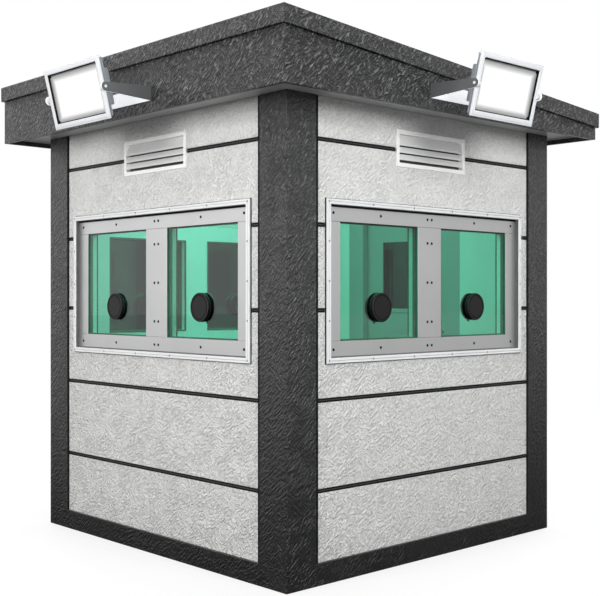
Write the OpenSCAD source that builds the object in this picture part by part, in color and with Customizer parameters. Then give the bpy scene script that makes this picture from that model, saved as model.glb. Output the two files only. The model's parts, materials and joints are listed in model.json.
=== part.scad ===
// Guard booth with armoured windows, gun ports, vents, one door and four floodlights.
// Millimetres, +Z up, origin on the ground under the middle of the booth.
// Every wall is drawn facing -Y and turned to its own side.

/* [Body] */
// Width and depth of the booth over its corner posts
booth_width = 2000; // [1900:10:2600]
// Height of the walls, from the base to the roof
wall_height = 2105; // [2060:5:2700]
// Height of the base
base_height = 100; // [60:5:160]
// Width of each face of a corner post
post_width = 180; // [130:5:220]
// Depth of a wall, from the face of the posts to the room
wall_depth = 110; // [96:2:150]
// Thickness of the floor
floor_thickness = 18; // [10:1:30]

/* [Panels] */
// How far the light panels lie behind the posts
panel_recess = 12; // [6:1:18]
// Thickness of the light panels, which is the depth of the grooves
panel_thickness = 6; // [3:1:10]
// Width of the grooves between the panels
groove_width = 20; // [10:1:30]
// Height of a panel row below the middle of the window, groove to groove
lower_pitch = 407.5; // [340:0.5:490]
// Height of a panel row above the middle of the window
upper_pitch = 387; // [320:1:460]
// Height of the lowest groove above the base
first_groove = 322; // [260:1:400]

/* [Windows] */
// Width of a window over its rim
window_width = 1500; // [1200:5:1560]
// Height of a window over its rim
window_height = 750; // [620:5:900]
// Height of the bottom of the windows above the base
window_sill = 895; // [700:5:1000]
// Width of the face of the window rim
rim_face = 25; // [15:1:35]
// Width of the cover plates at the sides of a window
side_plate = 85; // [60:1:110]
// Width of the cover plates at the top and bottom of a window
end_plate = 75; // [50:1:95]
// Width of the cover plate between the two panes
mullion = 180; // [140:1:220]
// Thickness of the cover plates
plate_thickness = 8; // [4:1:12]
// How far the cover plates lie behind the rim
plate_recess = 25; // [15:1:35]
// Thickness of the glass
glass_thickness = 40; // [24:1:46]

/* [Gun ports] */
// Diameter of the cap and of the inner flange
port_diameter = 141; // [110:1:180]
// Diameter of the neck that passes through the glass
port_neck = 90; // [60:1:100]
// How far the cap stands out from the glass
port_cap = 20; // [12:1:26]
// Thickness of the inner flange
port_flange = 12; // [8:1:16]
// Height of the middle of a port above the bottom of its pane
port_rise = 153; // [110:1:200]

/* [Vents] */
// Width of a vent
vent_width = 530; // [400:5:700]
// Height of a vent
vent_height = 180; // [140:5:220]
// Gap between a window and the vent over it
vent_gap = 185; // [100:5:220]
// How far a vent stands out past the panels
vent_stand = 4; // [2:1:12]
// How deep a vent is let into the wall behind the panels
vent_pocket = 20; // [12:1:40]
// Distance between two slats of a vent
slat_pitch = 36; // [28:1:44]

/* [Door] */
// Width of the door frame
door_width = 900; // [820:5:1080]
// Height of the door frame above the base
door_height = 2010; // [1900:5:2050]
// Width of the face of the door frame
door_frame_face = 80; // [60:1:100]
// Width of the stop that the closed leaf covers
door_stop = 40; // [25:1:50]
// Thickness of the door leaf
leaf_thickness = 55; // [46:1:60]
// Gap round the closed leaf
leaf_gap = 5; // [5:0.5:8]
// Gap at the lock side of the leaf, whose inner edge swings out
lock_gap = 9; // [9:0.5:12]
// Width of the door window
door_window_width = 400; // [320:5:480]
// Height of the door window
door_window_height = 420; // [340:5:510]
// Height of the bottom of the door window above the base
door_window_sill = 1127; // [1000:1:1200]
// Height of the handle above the base
handle_height = 950; // [850:5:1050]

/* [Roof] */
// How far the roof reaches past the posts
roof_overhang = 190; // [150:5:230]
// Height of the fascia at the front
fascia_front = 241; // [200:1:290]
// How much the roof falls from its front to its back
roof_fall = 174; // [120:1:176]
// How far the fascia hangs below the soffit
fascia_drop = 23; // [10:1:30]
// Thickness of the fascia
fascia_thickness = 25; // [15:1:40]
// Height of the cap over the fascia
cap_height = 80; // [60:1:100]
// How far the cap stands out past the fascia
cap_stand = 15; // [8:1:25]

/* [Floodlights] */
// Width of a lamp
lamp_width = 485; // [400:1:580]
// Height of a lamp
lamp_height = 294; // [250:1:320]
// Width of the lamp's frame
lamp_frame = 30; // [20:1:40]
// Depth of the lamp's frame
lamp_depth = 30; // [24:1:44]
// Depth of the gear box behind the frame
lamp_box_depth = 32; // [20:1:60]
// Height of the gear box
lamp_box_height = 170; // [120:1:200]
// How far the ends of the gear box lie inside the ends of the frame
lamp_box_inset = 16; // [8:1:60]
// Downward tilt of the lamps at rest, in degrees
lamp_tilt = 14; // [0:1:30]
// Distance from the fascia to the pivot
bracket_reach = 253; // [220:1:300]
// Height of the bracket strip at the fascia
bracket_height = 68; // [50:1:80]
// Thickness of the bracket strip
bracket_thickness = 5; // [4:0.5:8]
// Diameter of the pivot pin
pivot_diameter = 12; // [8:0.5:16]

/* [Hidden] */

// Clearance between pieces that seat on each other
fit = 0.3;
// A cut reaches this far past the face that it opens
cut = 1;
$fn = 64;

// Turn of each wall round the booth
FRONT = 0;
RIGHT = 90;
BACK = 180;
LEFT = 270;

half = booth_width / 2;
room = half - wall_depth;
wall_span = booth_width - 2 * post_width;
core_face = half - panel_recess - panel_thickness;
soffit = base_height + wall_height;

groove_heights = [for (low = [0 : 2]) base_height + first_groove + low * lower_pitch,
    for (high = [1 : 2]) base_height + first_groove + 2 * lower_pitch + high * upper_pitch];
row_bottoms = concat([base_height], [for (groove = groove_heights) groove + groove_width / 2]);
row_tops = concat([for (groove = groove_heights) groove - groove_width / 2], [soffit]);

window_bottom = base_height + window_sill;
window_top = window_bottom + window_height;
pane_width = (window_width - 2 * (rim_face + side_plate) - mullion) / 2;
pane_height = window_height - 2 * (rim_face + end_plate);
pane_bottom = window_bottom + rim_face + end_plate;
pane_middle = (mullion + pane_width) / 2;
glass_face = half - plate_recess - plate_thickness;

port_chamfer = 4;
knob_diameter = 18;
knob_length = 18;
knob_inset = 15;

vent_bottom = window_top + vent_gap;
vent_border = 20;
vent_back = 4;
first_slat = 18;
slat_face = 2;
slat_sheet = 3;
slat_rise = slat_pitch * 0.6;
vent_face = half - panel_recess + vent_stand;
vent_depth = vent_stand + panel_thickness + vent_pocket - fit;

door_top = base_height + door_height;
door_opening = door_width - 2 * door_frame_face;
sill_height = 20;
leaf_inner = half - leaf_thickness - leaf_gap;
leaf_outer = leaf_inner + leaf_thickness;
leaf_bottom = base_height + sill_height + leaf_gap;
leaf_top = door_top - door_frame_face - leaf_gap;
door_rim_face = 25;
door_rim_stand = 4;

// Reaches of the hinge plates and webs are measured along the wall from the pin
hinge_x = door_opening / 2 + 2;
hinge_y = -half - 12;
hinge_radius = 8;
hinge_pin = 4;
hinge_length = 45;
hinge_plate = 3;
leaf_plate = [6, 52];
leaf_web = [10, 20];
frame_plate = [12, 56];
frame_web = [12, 20];
hinge_heights = [leaf_bottom + 200, (leaf_bottom + leaf_top) / 2, leaf_top - 300];

handle_inset = 60;
pull_diameter = 24;
pull_length = 300;
pull_stand = 50;
stay_diameter = 16;
stay_spread = 130;
lever_plate = [40, 8, 180];
lever_spindle = 20;
lever_rise = 40;
lever_stand = 40;
lever_bar = [120, 12, 20];
lever_overhang = 8;

roof_half = half + roof_overhang;
fascia_bottom = soffit - fascia_drop;
roof_slope = roof_fall / (2 * roof_half);

pivot_out = roof_half + bracket_reach;
pivot_rise = 63;
bracket_gap = 5;
arm_inside = lamp_width / 2 + bracket_gap;
arm_end_radius = 21;
pin_head = 6;
pin_head_radius = 13;
ear_radius = 20;
ear_gap = 1;

lamp_front = -6;
lamp_back = lamp_front + lamp_depth;
lamp_backplate = 4;
lens_front = 6;
lens_thickness = 5;
lens_ledge = 10;

// Height of the underside of the cap at a distance behind the middle
function roof_top(back) = fascia_bottom + fascia_front - (back + roof_half) * roof_slope;

// The fascia is too low at the back for a bracket, which sits on the cap there
function lamp_seat(turn) = turn == BACK ? roof_half + cap_stand : roof_half;
function lamp_level(turn) = turn == BACK ? roof_top(roof_half) + cap_height / 2 : soffit + pivot_rise;

module on_side(turn) rotate([0, 0, turn]) children();

module both_ways(distance)
    for (way = [-1, 1]) translate([way * distance, 0, 0]) children();

// A block from a low corner to a high corner
module block(low, high) translate(low) cube(high - low);

module base_frame() color("#3c3f42") block([-half, -half, 0], [half, half, base_height]);

module floor_panel() color("#8d8f8e")
    block([fit - room, fit - room, base_height], [room - fit, room - fit, base_height + floor_thickness]);

// A corner post is an angle, so the room keeps square corners
module corner_post(turn) color("#4a4d50") on_side(turn) difference() {
    inside = post_width - half;
    block([-half, -half, base_height], [inside, inside, soffit]);
    block([-room, -room, base_height - cut], [inside + cut, inside + cut, soffit + cut]);
}

// A wall with a window is four slabs round the window frame
module window_wall(turn) color("#43464a") on_side(turn) {
    edge = wall_span / 2 - fit;
    block([-edge, -core_face, base_height], [edge, -room, window_bottom - fit]);
    difference() {
        block([-edge, -core_face, window_top + fit], [edge, -room, soffit]);
        vent_cut(vent_pocket - core_face);
    }
    for (way = [0, 1]) mirror([way, 0, 0])
        block([-edge, -core_face, window_bottom], [-window_width / 2 - fit, -room, window_top]);
}

module back_wall_side(way) color("#43464a") on_side(BACK) mirror([way, 0, 0])
    block([-wall_span / 2 + fit, -core_face, base_height], [-door_width / 2 - fit, -room, soffit]);

module back_wall_head() color("#43464a") on_side(BACK)
    block([-door_width / 2, -core_face, door_top + fit], [door_width / 2, -room, soffit]);

// The light panels of one wall, in rows with grooves between them, less what is cut out
module cladding(turn) color("#d9d8d2") on_side(turn) difference() {
    for (row = [0 : len(row_bottoms) - 1])
        block([fit - wall_span / 2, -half + panel_recess, row_bottoms[row]],
            [wall_span / 2 - fit, -core_face, row_tops[row]]);
    children();
}

module window_cut()
    block([-window_width / 2 - fit, -half, window_bottom - fit],
        [window_width / 2 + fit, 0, window_top + fit]);

// The place of a vent, cut back from the posts to a depth
module vent_cut(back)
    block([-vent_width / 2 - fit, -half, vent_bottom - fit],
        [vent_width / 2 + fit, back, vent_bottom + vent_height + fit]);

module window_and_vent_cut() {
    window_cut();
    vent_cut(0);
}

module door_cut()
    block([-door_width / 2 - fit, -half, 0], [door_width / 2 + fit, 0, door_top + fit]);

// The welded window frame: a rim, a recess for the cover plates and two panes
module window_frame(turn) color("#c9ccd0") on_side(turn) difference() {
    block([-window_width / 2, -half, window_bottom], [window_width / 2, -room, window_top]);
    block([rim_face - window_width / 2, -half - cut, window_bottom + rim_face],
        [window_width / 2 - rim_face, -glass_face, window_top - rim_face]);
    both_ways(pane_middle)
        block([-pane_width / 2, -half, pane_bottom], [pane_width / 2, 0, pane_bottom + pane_height]);
}

// Two long plates, two side plates and a middle plate hold the glass in its frame
module window_plates(turn) color("#c3c6ca") on_side(turn) {
    long_half = window_width / 2 - rim_face - fit;
    outer = -half + plate_recess;
    pane_top = pane_bottom + pane_height;
    block([-long_half, outer, window_bottom + rim_face + fit], [long_half, -glass_face, pane_bottom]);
    block([-long_half, outer, pane_top], [long_half, -glass_face, window_top - rim_face - fit]);
    block([-mullion / 2, outer, pane_bottom + fit], [mullion / 2, -glass_face, pane_top - fit]);
    for (way = [0, 1]) mirror([way, 0, 0])
        block([-long_half, outer, pane_bottom + fit],
            [-long_half + side_plate - fit, -glass_face, pane_top - fit]);
}

module at_ports() both_ways(pane_middle)
    translate([0, -glass_face, pane_bottom + port_rise]) rotate([90, 0, 0]) children();

module window_glass(turn) color("#7fc8ae") on_side(turn) difference() {
    both_ways(pane_middle)
        block([fit - pane_width / 2, -glass_face, pane_bottom + fit],
            [pane_width / 2 - fit, glass_thickness - glass_face, pane_bottom + pane_height - fit]);
    at_ports() translate([0, 0, -glass_thickness - cut])
        cylinder(d = port_neck + 2 * fit, h = glass_thickness + 2 * cut);
}

// A turned plug through the glass, with a cap outside, a flange inside and a latch knob
module gun_ports(turn) color("#26282a") on_side(turn) at_ports() {
    edge = port_diameter / 2;
    inside = -glass_thickness - fit;
    rotate_extrude() polygon([
        [0, port_cap], [edge - port_chamfer, port_cap], [edge, port_cap - port_chamfer],
        [edge, fit], [port_neck / 2, fit], [port_neck / 2, inside],
        [edge, inside], [edge, inside - port_flange], [0, inside - port_flange]]);
    translate([0, knob_inset - edge, inside - port_flange - knob_length])
        cylinder(d = knob_diameter, h = knob_length + cut);
}

// A pressed cover with a hollow front and three sloping slats
module vent(turn) color("#e6e7e6") on_side(turn) {
    inner_half = vent_width / 2 - vent_border;
    face = -vent_face;
    difference() {
        block([-vent_width / 2, face, vent_bottom],
            [vent_width / 2, face + vent_depth, vent_bottom + vent_height]);
        block([-inner_half, face - cut, vent_bottom + vent_border],
            [inner_half, face + vent_depth - vent_back, vent_bottom + vent_height - vent_border]);
    }
    for (slat = [0 : 2])
        translate([-inner_half - cut, face, vent_bottom + vent_border + first_slat + slat * slat_pitch])
            rotate([90, 0, 90]) linear_extrude(2 * (inner_half + cut))
                polygon([[0, 0], [slat_face, 0], [vent_depth, slat_rise],
                    [vent_depth, slat_rise + slat_sheet], [0, slat_sheet]]);
}

// The deck closes the roof between the fascia boards, and its underside is the soffit
module roof_deck() color("#b9bab8") {
    edge = roof_half - fascia_thickness - fit;
    translate([-edge, 0, 0]) rotate([90, 0, 90]) linear_extrude(2 * edge)
        polygon([[-edge, soffit], [edge, soffit], [edge, roof_top(edge) - fit],
            [-edge, roof_top(-edge) - fit]]);
}

// A board from one distance behind the middle to another, with the roof's slope on its top
module fascia_board(x_low, x_high, y_low, y_high)
    translate([x_low, 0, 0]) rotate([90, 0, 90]) linear_extrude(x_high - x_low)
        polygon([[y_low, fascia_bottom], [y_high, fascia_bottom], [y_high, roof_top(y_high) - fit],
            [y_low, roof_top(y_low) - fit]]);

module roof_fascia() color("#46494c") {
    inside = roof_half - fascia_thickness;
    fascia_board(-roof_half, roof_half, -roof_half, -inside);
    fascia_board(-roof_half, roof_half, inside, roof_half);
    fascia_board(-roof_half, -inside, fit - inside, inside - fit);
    fascia_board(inside, roof_half, fit - inside, inside - fit);
}

module roof_cap() color("#3f4245") {
    edge = roof_half + cap_stand;
    translate([-edge, 0, 0]) rotate([90, 0, 90]) linear_extrude(2 * edge)
        polygon([[-edge, roof_top(-edge)], [edge, roof_top(edge)], [edge, roof_top(edge) + cap_height],
            [-edge, roof_top(-edge) + cap_height]]);
}

// A bent strip: a base on the fascia and two arms that narrow to the pivot
module lamp_bracket(turn) color("#b7babd") on_side(turn) translate([0, -lamp_seat(turn), lamp_level(turn)]) {
    outside = arm_inside + bracket_thickness;
    reach = pivot_out - lamp_seat(turn);
    block([-outside, -bracket_thickness, -bracket_height / 2], [outside, 0, bracket_height / 2]);
    for (way = [0, 1]) mirror([way, 0, 0]) difference() {
        union() {
            translate([arm_inside, 0, 0]) rotate([90, 0, 90]) linear_extrude(bracket_thickness)
                polygon([[0, -bracket_height / 2], [0, bracket_height / 2],
                    [-reach, arm_end_radius], [-reach, -arm_end_radius]]);
            translate([arm_inside, -reach, 0]) rotate([0, 90, 0])
                cylinder(r = arm_end_radius, h = bracket_thickness);
        }
        translate([arm_inside - cut, -reach, 0]) rotate([0, 90, 0])
            cylinder(d = pivot_diameter + 2 * fit, h = bracket_thickness + 2 * cut);
    }
}

module at_pivot(turn)
    on_side(turn) translate([0, -pivot_out, lamp_level(turn)]) rotate([lamp_tilt, 0, 0]) children();

module lamp_block(width, height, front, back)
    block([-width / 2, front, -height / 2], [width / 2, back, height / 2]);

// The lamp's frame, the gear box behind it and the pins that carry it
module lamp_housing(turn) color("#d5d8da") at_pivot(turn) {
    head_start = cut + bracket_gap + bracket_thickness + fit;
    rim = lamp_frame + lens_ledge;
    difference() {
        lamp_block(lamp_width, lamp_height, lamp_front, lamp_back);
        lamp_block(lamp_width - 2 * lamp_frame, lamp_height - 2 * lamp_frame, lamp_front - cut,
            lens_front + lens_thickness);
        lamp_block(lamp_width - 2 * rim, lamp_height - 2 * rim, lamp_front, lamp_back - lamp_backplate);
    }
    lamp_block(lamp_width - 2 * lamp_box_inset, lamp_box_height, lamp_back - cut, lamp_back + lamp_box_depth);
    for (way = [0, 1]) mirror([way, 0, 0]) translate([lamp_width / 2 - cut, 0, 0]) rotate([0, 90, 0]) {
        cylinder(r = ear_radius, h = cut + bracket_gap - ear_gap);
        cylinder(d = pivot_diameter, h = head_start + pin_head);
        translate([0, 0, head_start]) cylinder(r = pin_head_radius, h = pin_head);
    }
}

module lamp_glass(turn) color("#f4f6f6") at_pivot(turn)
    lamp_block(lamp_width - 2 * lamp_frame - 2 * fit, lamp_height - 2 * lamp_frame - 2 * fit, lens_front,
        lens_front + lens_thickness);

// The door frame: two jambs and a head with their stops, and a sill
module door_frame() color("#505356") on_side(BACK) {
    stop_face = -leaf_inner + leaf_gap;
    opening = door_opening / 2;
    for (way = [0, 1]) mirror([way, 0, 0]) {
        block([-door_width / 2, -half, base_height], [-opening, -room, door_top]);
        block([-opening - cut, stop_face, base_height + sill_height + fit],
            [-opening + door_stop, -room, door_top - door_frame_face - door_stop - fit]);
    }
    block([fit - opening, -half, door_top - door_frame_face], [opening - fit, -room, door_top]);
    block([fit - opening, stop_face, door_top - door_frame_face - door_stop],
        [opening - fit, -room, door_top - door_frame_face + cut]);
    block([fit - opening, -half, base_height], [opening - fit, -room, base_height + sill_height]);
}

module door_window_block(grow, y_low, y_high)
    block([-door_window_width / 2 - grow, y_low, base_height + door_window_sill - grow],
        [door_window_width / 2 + grow, y_high, base_height + door_window_sill + door_window_height + grow]);

// The leaf carries its window rim and the upper half of each hinge
module door_leaf() color("#55585b") on_side(BACK) {
    difference() {
        union() {
            block([lock_gap - door_opening / 2, -leaf_outer, leaf_bottom],
                [door_opening / 2 - leaf_gap, -leaf_inner, leaf_top]);
            door_window_block(door_rim_face, -leaf_outer - door_rim_stand, -leaf_inner + door_rim_stand);
        }
        door_window_block(0, -leaf_outer - door_rim_stand - cut, -leaf_inner + door_rim_stand + cut);
    }
    for (height = hinge_heights) translate([hinge_x, 0, height]) {
        block([-leaf_plate[1], -leaf_outer - hinge_plate, -hinge_length],
            [-leaf_plate[0], -leaf_outer + cut, hinge_length]);
        block([-leaf_web[1], hinge_y, fit], [-leaf_web[0], -leaf_outer, hinge_length]);
        difference() {
            union() {
                block([-leaf_web[1], hinge_y, fit], [0, hinge_y + hinge_radius, hinge_length]);
                translate([0, hinge_y, fit]) cylinder(r = hinge_radius, h = hinge_length - fit);
            }
            translate([0, hinge_y, -cut]) cylinder(r = hinge_pin + fit, h = hinge_length + 2 * cut);
        }
    }
}

// The lower half of each hinge, with the pin that the leaf turns on
module door_hinges() color("#8f9295") on_side(BACK)
    for (height = hinge_heights) translate([hinge_x, 0, height]) {
        block([frame_plate[0], -half - hinge_plate, -hinge_length], [frame_plate[1], -half, hinge_length]);
        block([0, hinge_y, -hinge_length], [frame_web[1], hinge_y + hinge_radius, -fit]);
        block([frame_web[0], hinge_y, -hinge_length], [frame_web[1], -half, -fit]);
        translate([0, hinge_y, -hinge_length]) cylinder(r = hinge_radius, h = hinge_length - fit);
        translate([0, hinge_y, -hinge_length]) cylinder(r = hinge_pin, h = 2 * (hinge_length - cut));
    }

module door_glass() color("#2f3a38") on_side(BACK) {
    margin = (leaf_thickness - glass_thickness) / 2;
    door_window_block(-fit, margin - leaf_outer, -leaf_inner - margin);
}

// A pull bar outside and a lever inside
module door_handle() color("#b9bcbf") on_side(BACK)
    translate([lock_gap - door_opening / 2 + handle_inset, 0, base_height + handle_height]) {
        for (way = [-1, 1]) translate([0, -leaf_outer, way * stay_spread]) rotate([90, 0, 0])
            cylinder(d = stay_diameter, h = pull_stand);
        translate([0, -leaf_outer - pull_stand, -pull_length / 2])
            cylinder(d = pull_diameter, h = pull_length);
        translate([-lever_plate[0] / 2, -leaf_inner, -lever_plate[2] / 2]) cube(lever_plate);
        translate([0, -leaf_inner, lever_rise]) rotate([-90, 0, 0])
            cylinder(d = lever_spindle, h = lever_stand);
        translate([-lever_overhang, -leaf_inner + lever_stand - lever_bar[1], lever_rise - lever_bar[2] / 2])
            cube(lever_bar);
    }

base_frame();
floor_panel();
corner_post(FRONT);  // post_front_left
corner_post(RIGHT);  // post_front_right
corner_post(BACK);  // post_back_right
corner_post(LEFT);  // post_back_left
window_wall(FRONT);  // front_wall
window_wall(RIGHT);  // right_wall
window_wall(LEFT);  // left_wall
back_wall_side(0);  // back_wall_right
back_wall_side(1);  // back_wall_left
back_wall_head();
cladding(FRONT) window_and_vent_cut();  // front_cladding
cladding(RIGHT) window_and_vent_cut();  // right_cladding
cladding(LEFT) window_and_vent_cut();  // left_cladding
cladding(BACK) door_cut();  // back_cladding
window_frame(FRONT);  // front_window_frame
window_frame(RIGHT);  // right_window_frame
window_frame(LEFT);  // left_window_frame
window_plates(FRONT);  // front_window_plates
window_plates(RIGHT);  // right_window_plates
window_plates(LEFT);  // left_window_plates
window_glass(FRONT);  // front_window_glass
window_glass(RIGHT);  // right_window_glass
window_glass(LEFT);  // left_window_glass
gun_ports(FRONT);  // front_gun_ports
gun_ports(RIGHT);  // right_gun_ports
gun_ports(LEFT);  // left_gun_ports
vent(FRONT);  // front_vent
vent(RIGHT);  // right_vent
vent(LEFT);  // left_vent
roof_deck();
roof_fascia();
roof_cap();
lamp_bracket(FRONT);  // front_lamp_bracket
lamp_bracket(RIGHT);  // right_lamp_bracket
lamp_bracket(BACK);  // back_lamp_bracket
lamp_bracket(LEFT);  // left_lamp_bracket
lamp_housing(FRONT);  // front_lamp_housing
lamp_housing(RIGHT);  // right_lamp_housing
lamp_housing(BACK);  // back_lamp_housing
lamp_housing(LEFT);  // left_lamp_housing
lamp_glass(FRONT);  // front_lamp_glass
lamp_glass(RIGHT);  // right_lamp_glass
lamp_glass(BACK);  // back_lamp_glass
lamp_glass(LEFT);  // left_lamp_glass
door_frame();
door_leaf();
door_glass();
door_handle();
door_hinges();
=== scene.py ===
import bmesh
import bpy
import json
import math
from mathutils import Matrix, Vector


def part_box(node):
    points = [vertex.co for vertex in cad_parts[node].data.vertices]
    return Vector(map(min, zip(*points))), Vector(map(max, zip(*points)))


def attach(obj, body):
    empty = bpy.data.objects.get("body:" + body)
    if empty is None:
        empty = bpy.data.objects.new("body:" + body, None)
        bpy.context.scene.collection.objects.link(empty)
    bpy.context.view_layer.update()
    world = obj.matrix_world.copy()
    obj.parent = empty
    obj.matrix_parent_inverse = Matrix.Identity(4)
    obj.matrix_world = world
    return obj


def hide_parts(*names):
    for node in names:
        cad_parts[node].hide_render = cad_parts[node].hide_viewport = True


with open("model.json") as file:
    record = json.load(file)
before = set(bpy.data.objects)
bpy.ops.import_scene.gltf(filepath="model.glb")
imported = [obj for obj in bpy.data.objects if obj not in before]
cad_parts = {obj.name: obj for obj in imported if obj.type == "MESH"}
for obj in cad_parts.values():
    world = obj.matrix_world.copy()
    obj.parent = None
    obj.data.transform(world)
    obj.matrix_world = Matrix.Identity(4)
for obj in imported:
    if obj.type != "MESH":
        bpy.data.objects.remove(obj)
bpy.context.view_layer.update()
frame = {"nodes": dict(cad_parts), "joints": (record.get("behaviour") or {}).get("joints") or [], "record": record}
nodes = frame["nodes"]
slotOf = {entry["node"]: entry["material_slot"] for entry in frame["record"]["subparts"]}
bodyOf = {node: body for body, members in frame["record"]["behaviour"]["bodies"].items() for node in members}
jointPlace = {joint["name"]: Vector(joint["pos_m"]) for joint in frame["joints"]}
turnOf = {"front": 0, "right": 90, "back": 180, "left": 270}
windowSides = ("front", "right", "left")
print("frame loaded:", len(nodes), "nodes")


class Wire:  # a socket that takes part in sums
    def __init__(self, graph, socket):
        self.graph, self.socket = graph, socket

    def math(self, operation, other=None, flip=False):
        values = [self] if other is None else [other, self] if flip else [self, other]
        return self.graph.node("ShaderNodeMath", {"operation": operation}, dict(enumerate(values)))

    def __add__(self, other):
        return self.math("ADD", other)

    def __sub__(self, other):
        return self.math("SUBTRACT", other)

    def __rsub__(self, other):
        return self.math("SUBTRACT", other, flip=True)

    def __mul__(self, other):
        return self.math("MULTIPLY", other)

    def __gt__(self, other):
        return self.math("GREATER_THAN", other)

    __radd__ = __add__
    __rmul__ = __mul__

    def ramp(self, low, high):  # 0 below low, 1 above high, smooth between
        return self.graph.node("ShaderNodeMapRange", {"interpolation_type": "SMOOTHSTEP"},
                               {"Value": self, "From Min": low, "From Max": high})


class Graph:  # a node tree of any kind
    def __init__(self, tree):
        self.tree = tree
        tree.nodes.clear()

    def node(self, kind, settings=None, sockets=None, output=0):
        made = self.tree.nodes.new(kind)
        for key, value in (settings or {}).items():
            setattr(made, key, value)
        for key, value in (sockets or {}).items():
            for part in value if isinstance(value, list) else [value]:
                if isinstance(part, Wire):
                    self.tree.links.new(part.socket, made.inputs[key])
                else:
                    made.inputs[key].default_value = part
        return Wire(self, made.outputs[output]) if made.outputs else None

    def join(self, x, y, z):
        return self.node("ShaderNodeCombineXYZ", {}, {0: x, 1: y, 2: z})

    def byRay(self, kind, other, seen):  # one look for a kind of ray and another for the rest
        ray = self.node("ShaderNodeLightPath", output="Is " + kind + " Ray")
        return self.node("ShaderNodeMixShader", {}, {0: ray, 1: other, 2: seen})


class Finish(Graph):  # one material and its nodes
    def __init__(self, name):
        self.material = bpy.data.materials.new(name)
        self.material.use_nodes = True
        super().__init__(self.material.node_tree)
        self.place = self.node("ShaderNodeTexCoord", output="Object")
        self.x, self.y, self.z = [self.node("ShaderNodeSeparateXYZ", {}, {0: self.place}, axis)
                                  for axis in "XYZ"]

    def reach(self, pick="MAXIMUM"):  # how far out from the middle of the booth, along X or Y
        return self.x.math("ABSOLUTE").math(pick, self.y.math("ABSOLUTE"))

    def noise(self, scale, detail=2.0, distortion=0.0, at=None):
        return self.node("ShaderNodeTexNoise", {}, {"Vector": at or self.place, "Scale": scale,
                                                    "Detail": detail, "Distortion": distortion})

    def blend(self, share, low, high):  # a colour from low to high
        return self.node("ShaderNodeMix", {"data_type": "RGBA"}, {0: share, 6: low, 7: high}, 2)

    def bump(self, height, depth):
        return self.node("ShaderNodeBump", {}, {"Height": height, "Distance": depth})

    def surface(self, **sockets):
        names = {key.replace("_", " "): value for key, value in sockets.items()}
        return self.node("ShaderNodeBsdfPrincipled", {}, names)

    def done(self, shader):
        self.node("ShaderNodeOutputMaterial", {}, {"Surface": shader})
        return self.material


def tone(red, green, blue):
    return (red, green, blue, 1.0)


def grey(level):
    return tone(level, level, level)


# Trowelled ridges that lean up to one side, and in patches to the other: 0 in the valleys and 1 on the crests
def wrinkles(finish, look):
    along, scale = finish.x + finish.y, look["scale"]
    waves = []
    for way in (1, -1):
        lean = finish.join((finish.z + along * way) * (scale * look["stretch"]),
                           (finish.z - along * way) * scale, (finish.x - finish.y) * 9)
        waves.append(finish.noise(1.0, 1.0, look["curl"], lean))
    crossed = finish.noise(look["patch"], 2.0).ramp(0.48, 0.58) * look["crossed"]
    wave = waves[0] + (waves[1] - waves[0]) * crossed
    return wave.ramp(0.5 - look["spread"], 0.5 + look["spread"])


darkCoatLook = {"crestHighlight": tone(0.098, 0.1, 0.1), "eavesCrestHighlight": tone(0.20, 0.202, 0.202),
                "body": tone(0.034, 0.035, 0.036), "deep": grey(0.018), "ground": grey(0.010),
                "scale": 84, "stretch": 0.32, "curl": 0.6, "spread": 0.27, "patch": 9, "crossed": 0.55,
                "depth": 0.0075, "rough": 0.34}


def makeDarkCoat():
    coat = Finish("charcoalWrinkleCoat")
    height = coat.z.ramp(0.0, 2.35)  # smoother toward the ground, and darker there with painted shade
    roof = coat.z.ramp(2.1, 2.2)
    eaves = roof * coat.reach().ramp(1.17, 1.18)
    top = roof - eaves
    relief = wrinkles(coat, darkCoatLook)
    cloud = coat.noise(1.7, 3.0)
    grit = coat.noise(240, 3.0)
    dust = (0.35 - coat.z).ramp(0.0, 0.35) * coat.noise(9, 4.0).ramp(0.45, 0.75) * 0.06
    body = coat.blend(cloud * 0.6 + grit * 0.4, darkCoatLook["deep"], darkCoatLook["body"])
    # painted shade: the coat darkens toward the ground, where less light falls
    body = coat.blend(height * height, darkCoatLook["ground"], body)
    # painted shade in the valleys of the eaves band
    body = coat.blend((1 - relief).ramp(0.4, 1.0) * eaves * 0.8, body, darkCoatLook["ground"])
    # painted highlights on the crests, stronger higher up and brightest on the eaves
    crestHighlight = coat.blend(eaves, darkCoatLook["crestHighlight"], darkCoatLook["eavesCrestHighlight"])
    body = coat.blend(relief.ramp(0.5, 1.0) * (height * 0.75 + 0.05), body, crestHighlight)
    colour = coat.blend(dust, body, tone(0.13, 0.125, 0.115))
    rough = relief * -0.08 + cloud * 0.12 + top * 0.25 + (darkCoatLook["rough"] - 0.03)
    raised = (relief + grit * 0.08) * (height * 0.6 + eaves * 0.9 - top * 0.65 + 0.3)
    return coat.done(coat.surface(Base_Color=colour, Roughness=rough, Specular_IOR_Level=0.6,
                                  Normal=coat.bump(raised, darkCoatLook["depth"])))


panelLook = {"light": tone(0.95, 0.95, 0.935), "dark": tone(0.50, 0.50, 0.49), "scale": 100, "stretch": 0.36,
             "curl": 0.6, "spread": 0.27, "patch": 9, "crossed": 0.7, "depth": 0.0095, "rough": 0.55}


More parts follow.
